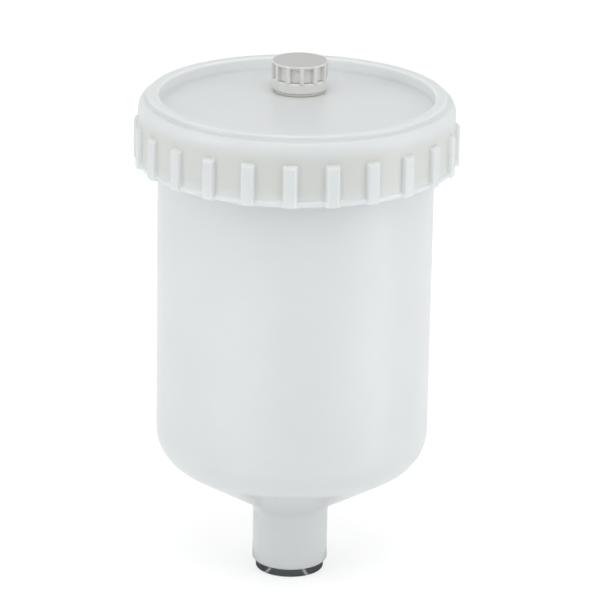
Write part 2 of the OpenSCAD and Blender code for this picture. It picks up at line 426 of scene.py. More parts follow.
def with_tree(
    piece: Object,
    tree: NodeTree,
    material: Material,
    lengths: dict[str, float],
    shares: Optional[dict[str, float]] = None,
) -> None:
    """Runs a geometry tree on a piece and keeps the result as its mesh.

    Args:
        piece: the object that the tree starts from.
        tree: the geometry tree.
        material: what the piece is made of.
        lengths: the tree's named inputs that are lengths, in mm.
        shares: its other named inputs, which are counts, shares and angles.
    """
    inputs = {name: value * MM for name, value in lengths.items()}
    inputs.update(shares or {}, Material=material)
    step = piece.modifiers.new(tree.name, "NODES")
    step.node_group = tree
    for item in tree.interface.items_tree:
        if item.item_type == "SOCKET" and item.in_out == "INPUT" and item.name in inputs:
            step[item.identifier] = inputs[item.name]
    bake(piece)


def finish(piece: Object, material: Material, body: str, node: str) -> None:
    """Shades a piece, gives it its material and fixes it to its body.

    Args:
        piece: the finished mesh.
        material: what it is made of.
        body: the body that it rides on.
        node: the node that it stands for.
    """
    mesh = piece.data
    mesh.materials.clear()
    mesh.materials.append(material)
    mesh.polygons.foreach_set("material_index", [0] * len(mesh.polygons))
    mesh.shade_smooth()
    mesh.set_sharp_from_angle(angle=SHARP_ANGLE)
    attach(piece, body)
    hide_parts(node)
    mesh.calc_loop_triangles()
    log.info("%s: %d triangles, on %s", piece.name, len(mesh.loop_triangles), body)


@dataclass(frozen=True)
class NodeBox:
    """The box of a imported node, in mm."""

    low: Vector
    high: Vector

    @classmethod
    def of(cls, node: str) -> NodeBox:
        """The box of the named node."""
        low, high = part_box(node)
        return cls(low / MM, high / MM)

    @property
    def radius(self) -> float:
        """Half the box's width along X."""
        return (self.high.x - self.low.x) / 2

    @property
    def centre_y(self) -> float:
        """The middle of the box along Y."""
        return (self.high.y + self.low.y) / 2


# Geometry trees for what repeats or follows a surface, each made when it is first used

# Where a place lies round the upright axis: its parts, and its distance from the axis.
ROUND_AXIS: Rows = {
    "parts": ("SeparateXYZ", "place"),
    "flat": ("CombineXYZ", "parts.X", "parts.Y"),
    "radius": ("VectorMath:LENGTH", "flat"),
}
# The same, with the angle round the axis and the way that leads away from it.
TURN_AND_WAY: Rows = {
    **ROUND_AXIS,
    "angle": ("Math:ARCTAN2", "parts.Y", "parts.X"),
    "outwards": ("VectorMath:NORMALIZE", "flat"),
}


def geometry_tree(name: str, inputs: dict[str, str], rows: Rows) -> NodeTree:
    """Makes a geometry tree that ends in real geometry with its material.

    Args:
        name: the tree's name.
        inputs: the kind Int or Float, to the names of its inputs of that kind, with commas.
        rows: its table of nodes, whose last row gives the shape.

    Returns:
        The tree. Its lengths are in metres and its angles in radians.
    """
    tree = bpy.data.node_groups.new(name, "GeometryNodeTree")
    kinds = {"Geometry": "Geometry"}
    for kind, labels in inputs.items():
        kinds.update(dict.fromkeys(labels.split(", "), kind))
    kinds["Material"] = "Material"
    tree.interface.new_socket("Geometry", in_out="OUTPUT", socket_type="NodeSocketGeometry")
    for label, kind in kinds.items():
        tree.interface.new_socket(label, in_out="INPUT", socket_type="NodeSocket" + kind)
    given = tree.nodes.new("NodeGroupInput")
    end: Rows = {
        "real": ("GeometryNodeRealizeInstances", list(rows)[-1]),
        "dressed": ("GeometryNodeSetMaterial", "real", {"Material": "Material"}),
        "out": ("NodeGroupOutput", "dressed"),
    }
    grow(tree, {label: given.outputs[label] for label in kinds}, {**rows, **end})
    return tree


def ring_rows(count: str, piece: str) -> Rows:
    """Rows that set copies of a piece evenly round the upright axis.

    Args:
        count: the input that holds how many there are.
        piece: the row of the piece.

    Returns:
        The rows, of which the last is the ring of copies.
    """
    return {
        "pitch": ("Math:DIVIDE", TURN, count),
        "spots": ("GeometryNodeMeshLine", {"Count": count, "Offset": (0.0, 0.0, 0.0)}),
        "number": ("GeometryNodeInputIndex",),
        "turn": ("Math:MULTIPLY", "number", "pitch"),
        "start": ("Math:ADD", "turn", "First angle"),
        "spin": ("FunctionNodeAxisAngleToRotation", {"Axis": UPWARDS, "Angle": "start"}),
        "copies": (
            "GeometryNodeInstanceOnPoints",
            {"Points": "spots", "Instance": piece, "Rotation": "spin"},
        ),
    }


@cache
def grip_rib_tree() -> NodeTree:
    """Raises upright ribs on the outside of a turned skirt.

    Each column is pushed out towards the ribs' radius by how near it stands to a rib's middle,
    and less so over the slope at a rib's top end.

    Returns:
        The tree.
    """
    return geometry_tree(
        "grip_ribs",
        {
            "Int": "Count",
            "Float": "First angle, Width, Flank, Rib radius, Inner limit, Top, Top slope",
        },
        {
            "place": ("GeometryNodeInputPosition",),
            **TURN_AND_WAY,
            "pitch": ("Math:DIVIDE", TURN, "Count"),
            "past first": ("Math:SUBTRACT", "angle", "First angle"),
            "half pitch": ("Math:MULTIPLY", "pitch", 0.5),
            "shifted": ("Math:ADD", "past first", "half pitch"),
            "within": ("Math:FLOORED_MODULO", "shifted", "pitch"),
            "signed": ("Math:SUBTRACT", "within", "half pitch"),
            "off middle": ("Math:ABSOLUTE", "signed"),
            "arc": ("Math:MULTIPLY", "off middle", "Rib radius"),
            "half width": ("Math:MULTIPLY", "Width", 0.5),
            "foot": ("Math:ADD", "half width", "Flank"),
            "across": (SMOOTH_STEP, "arc", "half width", "foot", 1.0, 0.0),
            "slope foot": ("Math:SUBTRACT", "Top", "Top slope"),
            "along": (SMOOTH_STEP, "parts.Z", "slope foot", "Top", 1.0, 0.0),
            "share": ("Math:MULTIPLY", "across", "along"),
            "room": ("Math:SUBTRACT", "Rib radius", "radius.Value"),
            "lift": ("Math:MULTIPLY", "room", "share"),
            "offset": ("VectorMath:SCALE", "outwards", {"Scale": "lift"}),
            "outside": ("FunctionNodeCompare:GREATER_THAN", "radius.Value", "Inner limit"),
            "shaped": ("GeometryNodeSetPosition", "Geometry", "outside", {"Offset": "offset"}),
        },
    )


@cache
def helix_ridge_tree() -> NodeTree:
    """Sweeps thread ridges along helices, one for each start, with ends that fade out.

    Returns:
        The tree.
    """
    spiral = {
        "Resolution": "Steps a turn",
        "Rotations": "Turns",
        "Start Radius": "Radius",
        "End Radius": "Radius",
        "Height": "Rise",
        "Reverse": True,
    }
    trapezoid = {
        "Height": "Depth",
        "Bottom Width": "Root width",
        "Top Width": "Crest width",
        "Offset": 0.0,
    }
    end_share = 0.3
    return geometry_tree(
        "helix_ridges",
        {
            "Int": "Starts, Steps a turn",
            "Float": "Turns, Radius, Rise, Start height, First angle, Root width, Crest width, "
            "Depth, Side, Fade",
        },
        {
            "line": ("GeometryNodeCurveSpiral", spiral),
            "upright": ("GeometryNodeSetCurveNormal:mode=Z_UP", "line"),
            "factor": ("GeometryNodeSplineParameter",),
            "from end": ("Math:SUBTRACT", 1.0, "factor.Factor"),
            "nearest": ("Math:MINIMUM", "factor.Factor", "from end"),
            "grown": ("MapRange", "nearest", 0.0, "Fade", end_share, 1.0),
            "faded": ("GeometryNodeSetCurveRadius", "upright", {"Radius": "grown"}),
            "profile": ("GeometryNodeCurvePrimitiveQuadrilateral:mode=TRAPEZOID", trapezoid),
            "lifted": ("Math:MULTIPLY", "Depth", 0.5),
            "centre": ("CombineXYZ", {"Y": "lifted"}),
            "stood": ("GeometryNodeTransform", {"Geometry": "profile", "Translation": "centre"}),
            "tilt": ("Math:MULTIPLY", "Side", -math.pi / 2),
            "aside": ("FunctionNodeAxisAngleToRotation", {"Axis": UPWARDS, "Angle": "tilt"}),
            "laid": ("GeometryNodeTransform", {"Geometry": "stood", "Rotation": "aside"}),
            "swept": (
                "GeometryNodeCurveToMesh",
                {"Curve": "faded", "Profile Curve": "laid", "Scale": "grown", "Fill Caps": True},
            ),
            "raised": ("CombineXYZ", {"Z": "Start height"}),
            "placed": ("GeometryNodeTransform", {"Geometry": "swept", "Translation": "raised"}),
            **ring_rows("Starts", "placed"),
        },
    )


@cache
def fine_thread_tree() -> NodeTree:
    """Cuts a fine screw thread into an upright wall. A positive depth pushes it outwards.

    Returns:
        The tree.
    """
    root_end, crest_start = 0.06, 0.44
    return geometry_tree(
        "fine_thread",
        {"Float": "Pitch, Depth, Wall radius, Low, High, Run out, Centre Y"},
        {
            "spot": ("GeometryNodeInputPosition",),
            "centre": ("CombineXYZ", {"Y": "Centre Y"}),
            "place": ("VectorMath:SUBTRACT", "spot", "centre"),
            **TURN_AND_WAY,
            "turns": ("Math:DIVIDE", "angle", TURN),
            "rounds": ("Math:DIVIDE", "parts.Z", "Pitch"),
            "phase": ("Math:SUBTRACT", "rounds", "turns"),
            "peak": ("Math:FRACT", "phase"),
            "from middle": ("Math:SUBTRACT", "peak", 0.5),
            "fold": ("Math:ABSOLUTE", "from middle"),
            "flanks": ("MapRange", "fold", root_end, crest_start, 0.0, 1.0),
            "low end": ("Math:ADD", "Low", "Run out"),
            "high end": ("Math:SUBTRACT", "High", "Run out"),
            "run in": ("MapRange", "parts.Z", "Low", "low end"),
            "run off": ("MapRange", "parts.Z", "high end", "High", 1.0, 0.0),
            "ends": ("Math:MULTIPLY", "run in", "run off"),
            "share": ("Math:MULTIPLY", "flanks", "ends"),
            "push": ("Math:MULTIPLY", "share", "Depth"),
            "offset": ("VectorMath:SCALE", "outwards", {"Scale": "push"}),
            "near wall": (
                "FunctionNodeCompare:EQUAL",
                "radius.Value",
                "Wall radius",
                {"Epsilon": MM / 50},
            ),
            "shaped": ("GeometryNodeSetPosition", "Geometry", "near wall", {"Offset": "offset"}),
        },
    )


@cache
def ring_of_bars_tree() -> NodeTree:
    """Stands upright bars with rounded edges in a ring.

    Returns:
        The tree.
    """
    rounding = {"Curve": "outline", "Count": 3, "Radius": "Edge", "Limit Radius": True}
    return geometry_tree(
        "ring_of_bars",
        {
            "Int": "Count",
            "Float": "First angle, Ring radius, Width, Depth, Edge, Low, Height, Centre Y",
        },
        {
            "outline": (
                "GeometryNodeCurvePrimitiveQuadrilateral:mode=RECTANGLE",
                {"Width": "Depth", "Height": "Width"},
            ),
            "softened": ("GeometryNodeFilletCurve:mode=POLY", rounding),
            "top": ("CombineXYZ", {"Z": "Height"}),
            "spine": ("GeometryNodeCurvePrimitiveLine", {"End": "top"}),
            "bar": (
                "GeometryNodeCurveToMesh",
                {"Curve": "spine", "Profile Curve": "softened", "Fill Caps": True},
            ),
            "away": ("CombineXYZ", {"X": "Ring radius"}),
            "moved": ("GeometryNodeTransform", {"Geometry": "bar", "Translation": "away"}),
            **ring_rows("Count", "moved"),
            "home": ("CombineXYZ", {"Y": "Centre Y", "Z": "Low"}),
            "placed": ("GeometryNodeTransform", {"Geometry": "copies", "Translation": "home"}),
        },
    )


# Finishes


def new_material(name: str) -> tuple[Material, NodeTree, Node]:
    """A new material, its tree and its shader."""
    material = bpy.data.materials.new(name)
    material.use_nodes = True
    return material, material.node_tree, material.node_tree.nodes["Principled BSDF"]


@dataclass(frozen=True)
class PaintedLightBand:
    """A painted band of shade or light on a milky wall, standing in for what lies close behind it.
    """

    colour: str
    low: float
    high: float
    inner_r: float
    outer_r: float
    fade: float = 0.9
    inner_fade: float = 0.1
    outer_fade: float = 0.7

    def edges(self) -> list[tuple[str, float, float]]:
        """The band's four edges.

        Returns:
            For each, what it is measured on, and from where to where it fades in, in mm.
        """
        return [
            ("parts.Z", self.low - self.fade, self.low + self.fade),
            ("parts.Z", self.high + self.fade, self.high - self.fade),
            ("radius.Value", self.inner_r - self.inner_fade, self.inner_r),
            ("radius.Value", self.outer_r + self.outer_fade, self.outer_r),
        ]


@dataclass(frozen=True)
class Finish:
    """What every finish has: two colours that a pattern mixes, and a range of roughness."""

    name: str
    colour: str
    second_colour: str
    roughness: tuple[float, float]

    def mixed(self, pattern: str) -> tuple:
        """The row that mixes the two colours by a pattern."""
        return MIX, {0: pattern, 6: linear(self.colour), 7: linear(self.second_colour)}

    def dressed(self, rows: Rows, tint: str, plain: dict[str, Value]) -> Material:
        """Makes the node material, on object coordinates.

        Args:
            rows: its table of nodes, with the roughness as "satin" and the relief as "skin".
            tint: the row that gives the colour.
            plain: the shader's inputs that are the same all over.

        Returns:
            The material.
        """
        material, tree, shader = new_material(self.name)
        place = add_node(tree, "ShaderNodeTexCoord").outputs["Object"]
        made = grow(tree, {"place": place}, rows)
        links = {"Roughness": made["satin"], "Normal": made["skin"]}
        fill(tree, shader, {"Base Color": made[tint].outputs[2], **links, **plain})
        return material


@dataclass(frozen=True)
class MouldedPlastic(Finish):
    """Natural moulded plastic: milky, satin, with faint flow marks and a fine moulded grain."""

    see_through: float = 0.0
    scattering: float = 0.0
    scatter_mm: float = 3.0
    ior: float = 1.49
    flow_mm: float = 22.0
    # A moulded grain is finer than this. It is drawn coarser, so that it shows.
    grain_mm: float = 0.9
    grain_depth_mm: float = 0.012
    wave_mm: float = 16.0
    wave_depth_mm: float = 0.10

    def build(self, *bands: PaintedLightBand) -> Material:
        """Makes the node material.

        Args:
            bands: painted bands of shade or light on the wall.

        Returns:
            The material.
        """
        flow = {"Scale": per_metre(self.flow_mm), "Detail": 3.0, "Roughness": 0.45}
        grain = {"Scale": per_metre(self.grain_mm), "Detail": 2.0}
        relief = {"Height": "grain", "Distance": self.grain_depth_mm * MM, "Normal": "swell"}
        rows: Rows = {
            **(ROUND_AXIS if bands else {}),
            "flow": ("TexNoise", {"Vector": "place", **flow}),
            "tint": self.mixed("flow"),
            "grain": ("TexNoise", {"Vector": "place", **grain}),
            "satin": ("MapRange", "grain", 0.0, 1.0, *self.roughness),
            "wave": ("TexNoise", {"Vector": "place", "Scale": per_metre(self.wave_mm)}),
            "swell": ("Bump", {"Height": "wave", "Distance": self.wave_depth_mm * MM}),
            "skin": ("Bump", relief),
        }
        tint = "tint"
        # Each band mixes its colour in as painted shade or painted light.
        for i, band in enumerate(bands):
            share: Value = 1.0
            for k, (along, start, end) in enumerate(band.edges()):
                edge = f"edge {i} {k}"
                rows[edge] = (SMOOTH_STEP, along, start * MM, end * MM)
                rows["in " + edge] = ("Math:MULTIPLY", share, edge)
                share = "in " + edge
            rows[f"band {i}"] = (MIX, {0: share, 6: tint + ".2", 7: linear(band.colour)})
            tint = f"band {i}"
        plain = {
            "IOR": self.ior,
            "Transmission Weight": self.see_through,
            "Subsurface Weight": self.scattering,
            "Subsurface Radius": (1.0, 1.0, 1.0),
            "Subsurface Scale": self.scatter_mm * MM,
        }
        return self.dressed(rows, tint, plain)


@dataclass(frozen=True)
class PlatedMetal(Finish):
    """Nickel-plated brass, turned on a lathe: grey and bright, with fine rings from the tool."""

    # The rings of a lathe's tool are closer than this. They are drawn wider, so that they show.
    tool_mm: float = 0.35
    tool_depth_mm: float = 0.004
    cloud_mm: float = 5.0

    def build(self) -> Material:
        """Makes the node material.

        Returns:
            The material.
        """
        cloud = {"Vector": "place", "Scale": per_metre(self.cloud_mm), "Detail": 4.0}
        wave = {"Vector": "place", "Scale": per_metre(self.tool_mm * TURN), "Distortion": 0.4}
        rows: Rows = {
            "cloud": ("TexNoise", cloud),
            "tint": self.mixed("cloud"),
            "rings": ("TexWave:bands_direction=Z", wave),
            "satin": ("MapRange", "cloud", 0.0, 1.0, *self.roughness),
            "skin": ("Bump", {"Height": "rings", "Distance": self.tool_depth_mm * MM}),
        }
        return self.dressed(rows, "tint", {"Metallic": 1.0})


@dataclass(frozen=True)
class SoftRubber(Finish):
    """Moulded rubber or foam: matt, a little dusty, with a soft fine grain."""

    roughness: tuple[float, float] = (0.62, 0.85)
    # The grain is finer than this. It is drawn coarser, so that it shows.
    grain_mm: float = 0.5
    grain_depth_mm: float = 0.03

    def build(self) -> Material:
        """Makes the node material.

        Returns:
            The material.
        """
        grain = {"Vector": "place", "Scale": per_metre(self.grain_mm), "Detail": 4.0}
        rows: Rows = {
            "grain": ("TexNoise", grain),
            "tint": self.mixed("grain"),
            "satin": ("MapRange", "grain", 0.0, 1.0, *self.roughness),
            "skin": ("Bump", {"Height": "grain", "Distance": self.grain_depth_mm * MM}),
        }
        return self.dressed(rows, "tint", {})


# Natural low-pressure polyethylene, blown and moulded in a smooth mould: it looks milky white,
# lets light through without a clear view, and has a broad satin gleam.
CUP_PLASTIC = MouldedPlastic(
    name="natural_polyethylene_cup",
    colour="#e8eaea",
    second_colour="#e2e5e5",
    roughness=(0.26, 0.34),
    see_through=0.20,
    scattering=0.7,
)
# The same plastic, moulded thicker, so that less of what lies behind it shows.
LID_PLASTIC = MouldedPlastic(
    name="natural_polyethylene_lid",
    colour="#e2e5e5",
    second_colour="#dde0e0",
    roughness=(0.30, 0.42),
    see_through=0.20,
    scattering=0.7,
    scatter_mm=3.5,
)
# Natural acetal: whiter and waxy.
NUT_PLASTIC = MouldedPlastic(
    name="white_acetal_nut",
    colour="#dcdedd",
    second_colour="#d5d7d6",
    roughness=(0.34, 0.44),
    flow_mm=6.0,
    grain_mm=0.5,
    grain_depth_mm=0.006,
    wave_mm=5.0,
    wave_depth_mm=0.02,
)
# Acetal in a light grey: denser and harder than the lid, so its edges catch sharper lights.
VENT_PLASTIC = replace(
    NUT_PLASTIC,
    name="grey_acetal_vent",
    colour="#e4e4e2",
    second_colour="#dededc",
    roughness=(0.26, 0.34),
    see_through=0.06,
    scattering=0.5,
    scatter_mm=0.6,
)
# Brass with bright nickel over it: a neutral grey mirror with thin bright lines.
INSERT_METAL = PlatedMetal("nickel_plated_brass", "#a3a8aa", "#989b9b", (0.14, 0.24))
# Nitrile rubber in a light grey, matt: it shows as a thin darker line under the vent.
SEAL_RUBBER = SoftRubber("nitrile_rubber_seal", "#c2c2b8", "#c9c9bf")
# Closed-cell polyethylene foam, pale and matt, between rim and lid.
GASKET_FOAM = SoftRubber("polyethylene_foam_gasket", "#cfd1cf", "#c4c6c4", grain_mm=0.8)


# Sub-assemblies


@dataclass
class Thread:
    """The two-start screw thread that the cup and its lid share."""

    starts: int = 2
    lead: float = 8.0
    turns: float = 0.75
    depth: float = 1.4
    root_w: float = 2.0
    crest_w: float = 1.0
    steps_a_turn: int = 72
    fade: float = 0.09
    rooted: float = 0.5

    def ridges(
        self, name: str, wall_r: float, start_z: float, wall: Wall, material: Material
    ) -> Object:
        """Makes the ridges of every start, rooted a little way into their wall.

        Args:
            name: the new object's name.
            wall_r: radius of the wall, in mm.
            start_z: height of the first ridge's lower end, in mm.
            wall: the side of the wall that they stand on.
            material: what the ridges are made of.

        Returns:
            The ridges as one closed mesh each, in one object.
        """
        taper = (self.root_w - self.crest_w) / self.depth
        lengths = {
            "Radius": wall_r - wall.value * self.rooted,
            "Rise": self.lead * self.turns,
            "Start height": start_z,
            "Root width": self.root_w + taper * self.rooted,
            "Crest width": self.crest_w,
            "Depth": self.depth + self.rooted,
        }
        shares = {
            "Starts": self.starts,
            "Turns": self.turns,
            "Steps a turn": self.steps_a_turn,
            "Side": float(wall.value),
            "Fade": self.fade,
        }
        made = empty_piece(name)
        with_tree(made, helix_ridge_tree(), material, lengths, shares)
        face_outwards(made)
        return made


@dataclass
class OutletInsert:
    """The threaded metal insert: a ring below the neck, and a grooved part inside it."""

    side_d: float = 20.0
    ring_h: float = 3.0
    bore_d: float = 14.95
    bore_chamfer: float = 0.8
    ring_edge: float = 0.4
    groove_count: int = 2
    groove_w: float = 2.2
    groove_depth: float = 0.9
    thread_pitch: float = 25.4 / 19
    thread_depth: float = 0.85
    thread_run_out: float = 0.9
    rows_a_pitch: int = 10
    columns: int = 144

    def __post_init__(self) -> None:
        """Takes the insert's heights and ring from its node."""
        box = NodeBox.of("outlet_insert")
        self.bottom_z = box.low.z
        self.top_z = box.high.z
        self.ring_r = box.radius

    def outline(self, away: float = 0.0) -> Path:
        """The moulded-in side with its anchor grooves, upwards.

        Args:
            away: how far the outline is moved away from the metal, in mm.

        Returns:
            The points from the ring's top to the insert's top, in mm.
        """
        side_r = self.side_d / 2 + away
        deep_r = side_r - self.groove_depth
        base = self.bottom_z + self.ring_h
        pitch = (self.top_z - base) / (self.groove_count + 1)
        points: Path = [(side_r, base)]
        for i in range(self.groove_count):
            low = base + (i + 1) * pitch - self.groove_w / 2 + away
            high = low + self.groove_w - 2 * away
            points += [(side_r, low), (deep_r, low), (deep_r, high), (side_r, high)]
        return points + [(side_r, self.top_z + away)]

    def build(self) -> None:
        """Makes the insert with its female thread."""
        bore_r, chamfer_z = self.bore_d / 2, self.bottom_z + self.bore_chamfer
        corners = [
            Corner(bore_r + self.bore_chamfer, self.bottom_z, 0.12, 2),
            Corner(self.ring_r, self.bottom_z, self.ring_edge, 4),
            Corner(self.ring_r, self.bottom_z + self.ring_h, 0.15, 3),
            *(Corner(r, z) for r, z in self.outline()),
            Corner(bore_r, self.top_z, 0.3, 2),
            Corner(bore_r, chamfer_z),
        ]
        points = spaced(section(corners), self.thread_pitch / self.rows_a_pitch, bore_r)
        piece = turned("insert_body", points, even(self.columns))
        lengths = {
            "Pitch": self.thread_pitch,
            "Depth": self.thread_depth,
            "Wall radius": bore_r,
            "Low": chamfer_z - self.thread_run_out / 2,
            "High": self.top_z,
            "Run out": self.thread_run_out,
        }
        metal = INSERT_METAL.build()
        with_tree(piece, fine_thread_tree(), metal, lengths)
        finish(piece, metal, "cup", "outlet_insert")


@dataclass
class Cup:
    """The moulded cup: neck, conical floor, straight barrel, and a threaded mouth."""

    insert: OutletInsert
    barrel_d: float = 90.0
    wall: float = 2.0
    corner_r: float = 13.5
    floor_slope: float = math.radians(31.0)
    neck_d: float = 25.0
    neck_h: float = 20.1
    neck_fillet: float = 5.0
    neck_chamfer: float = 0.9
    passage_d: float = 16.0
    passage_round: float = 1.5
    mouth_step: float = 1.8
    flare_h: float = 3.2
    flare_round: float = 4.0
    mouth_h: float = 13.3
    mouth_wall: float = 2.2
    rim_round: float = 0.6
    thread_start_h: float = 2.8
    columns: int = 240
    longest_rise: float = 6.0
    moulding_gap: float = 0.03
    thread: Thread = field(default_factory=Thread)

    def __post_init__(self) -> None:
        """Takes the cup's heights from its node."""
        box = NodeBox.of("cup_body")
        self.bottom_z = box.low.z
        self.rim_z = box.high.z
        self.mouth_z = self.rim_z - self.mouth_h
        self.flare_z = self.mouth_z - self.flare_h
        self.mouth_r = self.barrel_d / 2 + self.mouth_step
        self.thread_z = self.mouth_z + self.thread_start_h

    def floor_z(self, radius: float, inside: bool) -> float:
        """Height of the conical floor's outer or inner face at a radius, in mm."""
        neck_top = self.bottom_z + self.neck_h
        outer = neck_top + (radius - self.neck_d / 2) * math.tan(self.floor_slope)
        return outer + (self.wall / math.cos(self.floor_slope) if inside else 0.0)

    def shell(self) -> Path:
        """The cup's section, with the cavity that the insert fills.

        Returns:
            The section's points, in mm.
        """
        barrel_r, neck_r, passage_r = self.barrel_d / 2, self.neck_d / 2, self.passage_d / 2
        inner_r, mouth_in_r = barrel_r - self.wall, self.mouth_r - self.mouth_wall
        corners = [
            Corner(neck_r, self.bottom_z, self.neck_chamfer),
            Corner(neck_r, self.floor_z(neck_r, False), self.neck_fillet, 12),
            Corner(barrel_r, self.floor_z(barrel_r, False), self.corner_r, 20),
            Corner(barrel_r, self.flare_z, self.flare_round, 6),
            Corner(self.mouth_r, self.mouth_z, 1.2, 4),
            Corner(self.mouth_r, self.rim_z, self.rim_round),
            Corner(mouth_in_r, self.rim_z, self.rim_round),
            Corner(mouth_in_r, self.mouth_z, 2.0, 4),
            Corner(inner_r, self.flare_z, self.flare_round, 6),
            Corner(inner_r, self.floor_z(inner_r, True), self.corner_r - self.wall, 18),
            Corner(passage_r, self.floor_z(passage_r, True), self.passage_round, 6),
            Corner(passage_r, self.insert.top_z + self.moulding_gap),
        ]
        corners += [Corner(r, z) for r, z in reversed(self.insert.outline(self.moulding_gap))]
        return spaced(section(corners), self.longest_rise)

    def metal_behind(self) -> PaintedLightBand:
        """A painted shade on the neck's wall, standing in for the metal insert seen through it."""
        top, neck_r, deep, past = self.insert.top_z, self.neck_d / 2, 1.5, 0.5
        return PaintedLightBand("#e6e9e9", 0.0, top, neck_r - deep, neck_r + past, fade=2.0)

    def build(self) -> None:
        """Makes the cup with its ridges."""
        # The cup's plastic, with the painted shade of the insert on its neck.
        plastic = CUP_PLASTIC.build(self.metal_behind())
        piece = turned("cup_shell", self.shell(), even(self.columns))
        wall = Wall.OUTSIDE
        ridges = self.thread.ridges("cup_ridges", self.mouth_r, self.thread_z, wall, plastic)
        combine(piece, ridges, Cut.JOIN)
        finish(piece, plastic, "cup", "cup_body")


@dataclass
class Lid:
    """The screw lid: recessed top, raised lip, curved shoulder and a ribbed skirt."""

    cup: Cup
    top_t: float = 2.2
    lip_w: float = 3.9
    lip_step: float = 1.8
    ledge_w: float = 1.5
    shoulder_h: float = 3.2
    shoulder_r: float = 4.5
    shoulder_steps: int = 10
    skirt_wall: float = 3.0
    rib_out: float = 1.4
    bead_h: float = 1.4
    bead_out: float = 0.4
    lip_round: float = 0.8
    rib_count: int = 24
    rib_w: float = 3.3
    rib_flank: float = 1.0
    rib_root: float = 0.5
    rib_drop: float = 3.4
    rib_top_slope: float = 1.5
    rib_top_rows: int = 12
    stem_hole_d: float = 8.1
    hole_columns: int = 64
    flank_gap: float = 0.15
    crest_gap: float = 0.3
    # Height above the skirt's foot where the painted shade of the mouth begins, in mm.
    painted_shade_from: float = 3.0

    def __post_init__(self) -> None:
        """Takes the lid's heights and outer radius from its node."""
        box = NodeBox.of("lid")
        washer = NodeBox.of("vent_washer")
        self.skirt_z = box.low.z
        self.lip_z = box.high.z
        self.rib_r = box.high.y
        self.skirt_r = self.rib_r - self.rib_out
        self.bore_r = self.skirt_r - self.skirt_wall
        self.face_z = washer.low.z
        self.seat_z = self.face_z - self.top_t
        self.ledge_z = self.lip_z - self.lip_step
        self.shoulder_z = self.ledge_z - self.shoulder_h
        self.rib_top_z = self.shoulder_z - self.rib_drop
        self.vent_y = washer.centre_y
        side = self.shoulder_r
        self.shoulder_top_r = self.skirt_r - side + math.sqrt(side**2 - self.shoulder_h**2)
        self.lip_out_r = self.shoulder_top_r - self.ledge_w
        self.lip_in_r = self.lip_out_r - self.lip_w

    def mouth_behind(self) -> PaintedLightBand:
        """A painted shade on the skirt, but for the thick ribs, standing in for the cup's mouth and
        thread that darken it from behind.
        """
        low, under, deep = self.skirt_z + self.painted_shade_from, 0.5, 0.7
        high, inner_r = self.shoulder_z - under, self.skirt_r - deep
        return PaintedLightBand("#dadbd7", low, high, inner_r, self.skirt_r, fade=2.5)

    def painted_recess_glow(self) -> PaintedLightBand:
        """A painted light on the lip's inner wall, standing in for the light behind it that shines
        through the plastic.
        """
        above, past, inside, deep = 0.6, 0.5, 0.5, 0.2
        low, high, wall_r = self.face_z + above, self.lip_z + past, self.lip_in_r
        # Painted glow: a lighter colour on the wall.
        return PaintedLightBand("#f3f5f5", low, high, wall_r - inside, wall_r + deep, fade=0.6)

    def columns(self) -> list[float]:
        """Spreads the lid's columns, close together on the ribs' flanks.

        Returns:
            Their angles, in radians.
        """
        pitch, flank_steps, plain_steps = TURN / self.rib_count, 5, 8
        half, flank = self.rib_w / 2 / self.rib_r, self.rib_flank / self.rib_r
        sides = [half + flank * k / flank_steps for k in range(-1, flank_steps + 2)]
        foot = sides[-1]
        sides.append(half / 2)
        marks = [0.0, *sides, *(-side for side in sides)]
        plain = pitch - 2 * foot
        marks += [foot + plain * k / plain_steps for k in range(1, plain_steps)]
        middles = [math.pi / 2 + i * pitch for i in range(self.rib_count)]
        return sorted((middle + mark) % TURN for middle in middles for mark in marks)

    def shell(self) -> Path:
        """The lid's section, from the middle of its top, over the lip, to its underside.

        Returns:
            The section's points, in mm.
        """
        swing = math.asin(self.shoulder_h / self.shoulder_r)
        middle_r = self.skirt_r - self.shoulder_r
        angles = [swing * (1 - k / self.shoulder_steps) for k in range(1, self.shoulder_steps + 1)]
        shoulder = [
            Corner(
                middle_r + self.shoulder_r * math.cos(a),
                self.shoulder_z + self.shoulder_r * math.sin(a),
            )
            for a in angles
        ]
        bead_r, bead_z = self.skirt_r + self.bead_out, self.skirt_z + self.bead_h
        corners = [
            Corner(0.0, self.face_z),
            Corner(self.lip_in_r, self.face_z, 0.9),
            Corner(self.lip_in_r, self.lip_z, self.lip_round, 6),
            Corner(self.lip_out_r, self.lip_z, self.lip_round, 6),
            Corner(self.lip_out_r, self.ledge_z, 0.95, 6),
            Corner(self.shoulder_top_r, self.ledge_z, 0.6, 4),
            *shoulder,
            Corner(self.skirt_r, bead_z + self.bead_out, 0.5, 3),
            Corner(bead_r, bead_z, 0.3, 3),
            Corner(bead_r, self.skirt_z, 0.4, 4),
            Corner(self.bore_r, self.skirt_z, 0.5, 4),
            Corner(self.bore_r, self.seat_z, 0.3, 3),
            Corner(0.0, self.seat_z),
        ]
        return self.with_rib_rows(section(corners))

    def with_rib_rows(self, points: Path) -> Path:
        """Adds close rows of points to the skirt, where the ribs' top ends slope.

        Args:
            points: the lid's section, in mm.

        Returns:
            The section with its extra points.
        """
        margin = 0.2
        low, high = self.rib_top_z - self.rib_top_slope - margin, self.rib_top_z + margin
        steps = [k / self.rib_top_rows for k in range(self.rib_top_rows + 1)]
        rows = [(self.skirt_r, high + (low - high) * step) for step in steps]
        below = [r > self.lip_out_r and z < low for r, z in points].index(True)
        return points[:below] + rows + points[below:]

